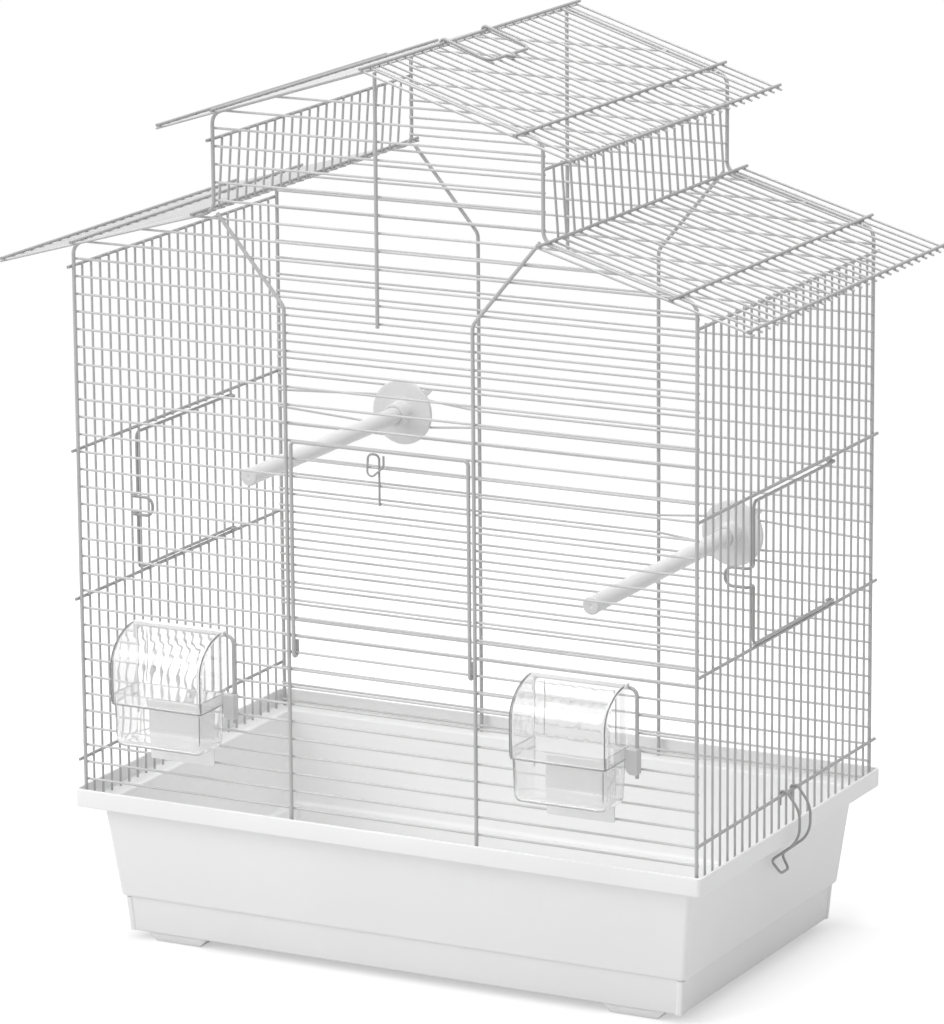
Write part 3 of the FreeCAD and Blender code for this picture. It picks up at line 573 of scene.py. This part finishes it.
def hood_rings(half, reach, rim, crown, middle_x, back_y, straight_levels=8, arch_levels=30):
    """The hood as level loops of a thick U. It is straight to its shoulder, then its depth follows a
    quarter ellipse up to the crown. The inner wall is the same form, smaller by the wall, and the outer one
    is rippled. Near the crown the corners and the hollow are shares of the depth, so they stay inside it."""
    shoulder = crown - hood_rise
    swing = np.linspace(0, np.radians(crown_turn), arch_levels)
    straight = np.linspace(rim, shoulder, straight_levels)[:-1]
    height = np.concatenate([straight, shoulder + hood_rise * np.sin(swing)])
    depth = np.concatenate([np.full(len(straight), reach), reach * np.cos(swing)])
    inner_rise = np.clip((height - shoulder) / (hood_rise - feeder_wall), 0, 1)
    inner_depth = np.maximum((reach - feeder_wall) * np.sqrt(1 - inner_rise ** 2), crown_hollow)
    out_x, out_y = u_line(half, depth, np.minimum(hood_corner, depth * crown_corner_share))
    in_x, in_y = u_line(half - feeder_wall, np.minimum(inner_depth, depth * crown_hollow_share),
                        np.minimum(hood_corner / 2, inner_depth * hollow_corner_share))
    tall = height[:, None] + np.zeros_like(out_x)
    out_y = out_y - ripple(out_x, tall) * ripple_depth * np.clip(out_y / ripple_fade, 0, 1)
    x = np.concatenate([out_x, in_x[:, ::-1]], axis=1)
    y = np.concatenate([out_y, in_y[:, ::-1]], axis=1)
    z = np.concatenate([tall, tall], axis=1)
    return np.stack([middle_x + x, back_y - y, z], axis=-1)


def edge_tube(line, radius, steps=8):
    """A thin round tube along a line in space, used for the painted edge shade of the clear plastic. With
    run the line's direction and side and up square to it, each ring is the point plus radius times (side cos
    a + up sin a), a going once round, and the ends are drawn in. lean is any direction well away from run,
    to find side by."""
    run = np.gradient(line, axis=0)
    run = run / np.linalg.norm(run, axis=1, keepdims=True)
    lean = np.where(np.abs(run[:, :1]) > 0.9, [[0.0, 1.0, 0.3]], [[1.0, 0.0, 0.0]])
    side = np.cross(run, lean)
    side = side / np.linalg.norm(side, axis=1, keepdims=True)
    up = np.cross(side, run)
    a = np.linspace(0, 2 * np.pi, steps, endpoint=False)[None, :, None]
    size = np.full(len(line), radius)
    size[[0, -1]] = radius / 2
    around = side[:, None] * np.cos(a) + up[:, None] * np.sin(a)
    return line[:, None] + size[:, None, None] * around


def upright_line(x, y, foot, head, steps=8):
    """A straight upright line: one x and one y, with evenly spaced heights."""
    return np.stack([np.full(steps, x), np.full(steps, y), np.linspace(foot, head, steps)], axis=-1)


def arch_line(x, back_y, reach, foot, shoulder, straight_steps=6, arch_steps=24):
    """The line of a hood's side edge: upright from its foot to the shoulder, then along a quarter ellipse
    back_y - reach cos t, shoulder + rise sin t, with t going nearly to the crown."""
    t = np.linspace(0, np.radians(arch_shade_turn), arch_steps)
    straight = upright_line(x, back_y - reach, foot, shoulder - edge_gap, straight_steps)
    arch = np.stack([np.full(arch_steps, x), back_y - reach * np.cos(t),
                     shoulder + (hood_rise - edge_inset) * np.sin(t)], axis=-1)
    return np.concatenate([straight, arch])


def carried(loop, stations, axes, shrink=0.85):
    """A closed loop of two coordinates carried straight along a third, and drawn in about its middle at
    both ends, which softens their edges. axes says which coordinate is which."""
    size = np.ones(len(stations))
    size[[0, -1]] = shrink
    middle = loop.mean(axis=0)
    loops = middle + size[:, None, None] * (loop - middle)
    rings = np.empty((len(stations), len(loop), 3))
    rings[..., axes[0]] = loops[..., 0]
    rings[..., axes[1]] = loops[..., 1]
    rings[..., axes[2]] = np.asarray(stations)[:, None]
    return rings


for side in ("left", "right"):
    body = side + "_feeder"
    cup_low, cup_high = node_box(side + "_feeder_cup")
    front_y, back_y = cup_low[1], cup_high[1]
    reach = back_y - front_y
    middle_x = (cup_low[0] + cup_high[0]) / 2
    half = (cup_high[0] - cup_low[0]) / 2
    wall = rounded_line(cup_section, cup_rounding)
    half_y = (reach - wall[:, 0] - wall[:, 1]) / 2
    cup = rounded_rings(half - wall[:, 0], half_y, wall[:, 3], cup_low[2] + wall[:, 2], middle_x,
                        back_y - wall[:, 1] - half_y, steps=8)
    cup_piece = make_piece(side + "_feeder_tub", [cup], clear, body)
    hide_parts(side + "_feeder_cup")

    hood_high = node_box(side + "_feeder_hood")[1]
    hood_rim = cup_high[2] - skirt
    hood = hood_rings(half, reach, hood_rim, hood_high[2] - crown_drop, middle_x, back_y)
    hood_piece = make_piece(side + "_feeder_shell", [hood], clear, body, crease=50)
    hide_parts(side + "_feeder_hood")

    # Painted shade: thin grey tubes for the dark lines that light bent in the clear plastic draws along the
    # hood's side edges, the cup's front corners, two guide ribs at the hood's back, and the collar that the
    # hood's skirt stands on
    edges = []
    for sign in (-1, 1):
        arch = arch_line(middle_x + sign * (half - edge_inset), back_y, reach - edge_inset,
                         hood_rim + edge_gap, hood_high[2] - hood_rise)
        corner = upright_line(middle_x + sign * (half - corner_shade_inset - edge_inset),
                              front_y + corner_shade_inset + edge_inset,
                              cup_low[2] + corner_shade_foot, cup_low[2] + corner_shade_head)
        guide = upright_line(middle_x + sign * (half - guide_inset), back_y - edge_inset,
                             cup_high[2] + edge_gap, hood_high[2] - guide_head_drop)
        edges += [edge_tube(arch, edge_radius), edge_tube(corner, corner_shade_radius),
                  edge_tube(guide, guide_shade_radius)]
    step_x = middle_x + (half - edge_inset) * np.array([-1.0, -1.0, 1.0, 1.0])
    step_y = np.array([back_y - edge_gap, front_y + edge_inset, front_y + edge_inset, back_y - edge_gap])
    step_z = np.full(4, hood_rim - step_shade_drop)
    step = rounded_line(np.stack([step_x, step_y, step_z], axis=-1), step_shade_bend)
    edges.append(edge_tube(step, edge_radius))
    make_piece(side + "_feeder_painted_edge_shade", edges, painted_edge_shade, body, crease=80)

    lip_back, lip_top = hood_high[1], hood_high[2]
    lip_front, riser_back = back_y - lip_depth, back_y - lip_riser_gap
    lip = rounded_line(np.array([
        [lip_front, lip_top - lip_height], [riser_back, lip_top - lip_height],
        [riser_back, lip_top - ledge_height], [lip_back, lip_top - ledge_height],
        [lip_back, lip_top], [lip_front, lip_top]]), lip_rounding, closed=True)
    lip_stations = middle_x + half * np.array([-1.0, -lip_soft_end, lip_soft_end, 1.0])
    lip_rings = carried(lip, lip_stations, (1, 2, 0))
    make_piece(side + "_feeder_lip", [lip_rings], frosted, body)

    clip_low, clip_high = node_box(side + "_feeder_clip")
    groove_left = clip_low[0] + clip_groove_inset
    groove_right = groove_left + clip_groove_width
    clip = rounded_line(np.array([
        [clip_low[0], clip_low[1]], [clip_high[0], clip_low[1]], [clip_high[0], clip_high[1]],
        [groove_right, clip_high[1]], [groove_right, back_y], [groove_left, back_y],
        [groove_left, clip_high[1]], [clip_low[0], clip_high[1]]]), clip_rounding, closed=True)
    clip_rings = carried(clip, clip_low[2] + clip_levels, (0, 1, 2), clip_end_size)
    slant = clip_low[0] + np.maximum(clip_cut - clip_levels, 0)
    clip_rings[..., 0] = np.maximum(clip_rings[..., 0], slant[:, None])
    clip_piece = make_piece(side + "_feeder_grip", [clip_rings], cloudy["grey"], body)
    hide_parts(side + "_feeder_clip")

    plate_low, plate_high = node_box(side + "_feeder_back_plate")
    plate_half = (plate_high - plate_low) / 2
    plate_middle = (plate_high + plate_low) / 2
    edge = rounded_line(np.array([
        [plate_edge, plate_low[1]], [0.0, plate_low[1]],
        [0.0, plate_high[1]], [plate_edge, plate_high[1]]]), plate_rounding)
    plate = rounded_rings(plate_half[0] - edge[:, 0], plate_half[2] - edge[:, 0], plate_corner, edge[:, 1],
                          plate_middle[0], plate_middle[2])[..., [0, 2, 1]]
    plate_piece = make_piece(side + "_feeder_plate", [plate], cloudy["milky"], body)
    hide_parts(side + "_feeder_back_plate")

# Perches. A moulded rod with a small beaded end, set in the socket of a round flange that bears on the back
# wires. A stud goes through between the wires and a wing nut draws the flange tight from outside.
rod_radius = 6.5
rod_neck = 6.4
rod_root = 30.0
bead_radius = 6.9
bead_middle = 2.4
bead_end = 5.0
gate_radius = 2.0
gate_depth = 0.5
closing_radius = 0.8
socket_bore = 6.6
socket_radius = 9.0
socket_draft = 0.2
socket_depth = 12.0
socket_floor = 0.5
dish_flat = 14.0
dish_fall = 0.8
flange_thickness = 4.0
stud_radius = 3.0
rod_rounding = np.array([0.5, 1.4, 0.9, 1.0, 5.0, 0.2])
dish_rounding = np.array([0.5, 1.0, 1.2, 1.5, 1.2, 1.2, 0.3, 0.5])

# Moulded polystyrene: an even pale grey with a soft gloss, very slightly cloudy, and a fine grain for the
# bird's feet to grip. The grain is drawn about twice as coarse as the real one so that it shows.
perch_cloud = 18.0
grip_grain = 1.4
grip_depth = 0.05
perch_plastic, tree = blank_material("pale grey moulded polystyrene")
place = add(tree, "ShaderNodeTexCoord").outputs["Object"]
cloud = add(tree, "ShaderNodeTexNoise", {"Vector": place, "Scale": 1 / (perch_cloud * mm), "Detail": 3.0})
grip = add(tree, "ShaderNodeTexNoise", {"Vector": place, "Scale": 1 / (grip_grain * mm), "Detail": 2.0})
tint = add(tree, "ShaderNodeMix", {0: cloud.outputs["Fac"], 6: linear("#DCDCDC"), 7: linear("#E6E6E6")},
           data_type="RGBA")
relief = add(tree, "ShaderNodeBump", {
    "Height": grip.outputs["Fac"], "Strength": 0.4, "Distance": grip_depth * mm})
shader = add(tree, "ShaderNodeBsdfPrincipled", {
    "Base Color": tint.outputs[2], "Roughness": 0.45, "IOR": 1.55, "Normal": relief.outputs["Normal"]})
add(tree, "ShaderNodeOutputMaterial", {"Surface": shader.outputs["BSDF"]})


def turned(line, middle_x, middle_z, steps=48):
    """A line of radius and distance along Y, turned about an axis along Y: x and z are the middle plus
    radius times cos t and sin t."""
    t = np.linspace(0, 2 * np.pi, steps, endpoint=False)
    radius = line[:, :1]
    y = np.broadcast_to(line[:, 1:], (len(line), steps))
    return np.stack([middle_x + radius * np.cos(t), y, middle_z + radius * np.sin(t)], axis=-1)


for side in ("left", "right"):
    rod_low, rod_high = node_box(side + "_perch")
    middle_x = (rod_low[0] + rod_high[0]) / 2
    middle_z = (rod_low[2] + rod_high[2]) / 2
    tip, root = rod_low[1], rod_high[1]
    rod = rounded_line(np.array([
        [closing_radius, tip + gate_depth], [gate_radius, tip], [rod_neck, tip],
        [bead_radius, tip + bead_middle], [rod_neck, tip + bead_end], [rod_radius, root - rod_root],
        [rod_radius, root], [closing_radius, root]]), rod_rounding)
    rod_piece = make_piece(side + "_perch_rod", [turned(rod, middle_x, middle_z)], perch_plastic, "cage")
    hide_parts(side + "_perch")

    flange_low, flange_high = node_box(side + "_perch_flange")
    mouth, stud_end = flange_low[1], flange_high[1]
    face = mouth + socket_depth
    wire_side = face + flange_thickness
    dish_radius = (flange_high[0] - flange_low[0]) / 2
    dish = rounded_line(np.array([
        [socket_bore, face - socket_floor], [socket_bore, mouth], [socket_radius, mouth],
        [socket_radius + socket_draft, face - dish_fall], [dish_flat, face],
        [dish_radius, face + dish_fall], [dish_radius, wire_side], [stud_radius, wire_side],
        [stud_radius, stud_end], [closing_radius, stud_end]]), dish_rounding)
    flange_piece = make_piece(side + "_perch_dish", [turned(dish, middle_x, middle_z, steps=72)],
                              perch_plastic, "cage")
    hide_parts(side + "_perch_flange")

    coat(perch_plastic, side + "_perch_nut")

# Floor and backdrop. A wide pale sheet that takes the cage's soft shadow. To the eye, and in gloss and
# clear plastic, it is lifted to white, as in the photo. Sizes from here on are in metres.
floor_half = 1.3
paper_lift = 0.45


def eye_rays(tree):
    """A value of 1 on rays that carry what the eye sees, from the camera, gloss or clear plastic, and of 0
    on the rays that only carry light."""
    path = add(tree, "ShaderNodeLightPath")
    seen = add(tree, "ShaderNodeMath", {0: path.outputs["Is Camera Ray"], 1: path.outputs["Is Glossy Ray"]},
               operation="MAXIMUM")
    seen = add(tree, "ShaderNodeMath", {0: seen.outputs["Value"], 1: path.outputs["Is Transmission Ray"]},
               operation="MAXIMUM")
    return seen.outputs["Value"]


floor_mesh = bpy.data.meshes.new("floor")
floor_mesh.from_pydata([
    (-floor_half, -floor_half, 0), (floor_half, -floor_half, 0), (floor_half, floor_half, 0),
    (-floor_half, floor_half, 0)], [], [(0, 1, 2, 3)])
floor = bpy.data.objects.new("floor", floor_mesh)
bpy.context.scene.collection.objects.link(floor)
paper, tree = blank_material("white backdrop paper")
lift = add(tree, "ShaderNodeMath", {0: eye_rays(tree), 1: paper_lift}, operation="MULTIPLY")
matt = add(tree, "ShaderNodeBsdfDiffuse", {"Color": linear("#D4D4D4")})
glow = add(tree, "ShaderNodeEmission", {"Color": linear("#FFFFFF"), "Strength": lift.outputs["Value"]})
both = add(tree, "ShaderNodeAddShader", {0: matt.outputs["BSDF"], 1: glow.outputs["Emission"]})
add(tree, "ShaderNodeOutputMaterial", {"Surface": both.outputs["Shader"]})
floor_mesh.materials.append(paper)

# Studio light. An even white surround, a wide soft lamp at the front left that leaves the right sides in
# half tone, and another from above that lights the roofs and the tray's floor.
sky_light = 0.55
lamp_aim = np.array([0.0, 0.0, 0.3])
steep = 0.9
world = bpy.data.worlds.new("white surround")
bpy.context.scene.world = world
world.use_nodes = True
tree = world.node_tree
tree.nodes.clear()
level = add(tree, "ShaderNodeMapRange", {"Value": eye_rays(tree), "To Min": sky_light, "To Max": 1.0})
surround = add(tree, "ShaderNodeBackground", {
    "Color": linear("#FFFFFF"), "Strength": level.outputs["Result"]})
add(tree, "ShaderNodeOutputWorld", {"Surface": surround.outputs["Background"]})


def stand(thing, spot, across, back):
    """Stands a lamp or camera at a spot, with its X axis along across and its Z axis along back."""
    turn = np.eye(4)
    turn[:3, :3] = np.stack([across, np.cross(back, across), back], axis=1)
    turn[:3, 3] = spot
    thing.matrix_world = Matrix(turn.tolist())
    bpy.context.scene.collection.objects.link(thing)


for name, spot, width, watts in (("front_left_lamp", [-2.4, -3.0, 2.2], 2.4, 65.0),
                                 ("top_lamp", [0.0, -0.2, 3.0], 2.0, 66.0)):
    light = bpy.data.lights.new(name, "AREA")
    light.energy = watts
    light.size = width
    back = np.array(spot) - lamp_aim
    back = back / np.linalg.norm(back)
    # A lamp that looks almost straight down takes its turn from the Y axis
    across = np.cross([0.0, 1.0, 0.0] if back[2] > steep else [0.0, 0.0, 1.0], back)
    stand(bpy.data.objects.new(name, light), spot, across / np.linalg.norm(across), back)

# Camera. A long lens from the front right and a little above, as in the photo, a good 4 m away. Its picture
# isn't shifted, and everything in it is sharp. Its sensor and focal length are in millimetres.
eye = np.array([1.9306, -3.68615, 1.3434])
forward = np.array([-0.45057, 0.86043, -0.23802])
right = np.array([0.88673, 0.46223, -0.00765])
forward = forward / np.linalg.norm(forward)
right = right - forward * (right @ forward)
lens = bpy.data.cameras.new("camera")
lens.sensor_fit = "HORIZONTAL"
lens.sensor_width = 36.0
lens.lens = 223.95
camera = bpy.data.objects.new("camera", lens)
stand(camera, eye, right / np.linalg.norm(right), -forward)
bpy.context.scene.camera = camera
bpy.context.scene.view_settings.view_transform = "Standard"
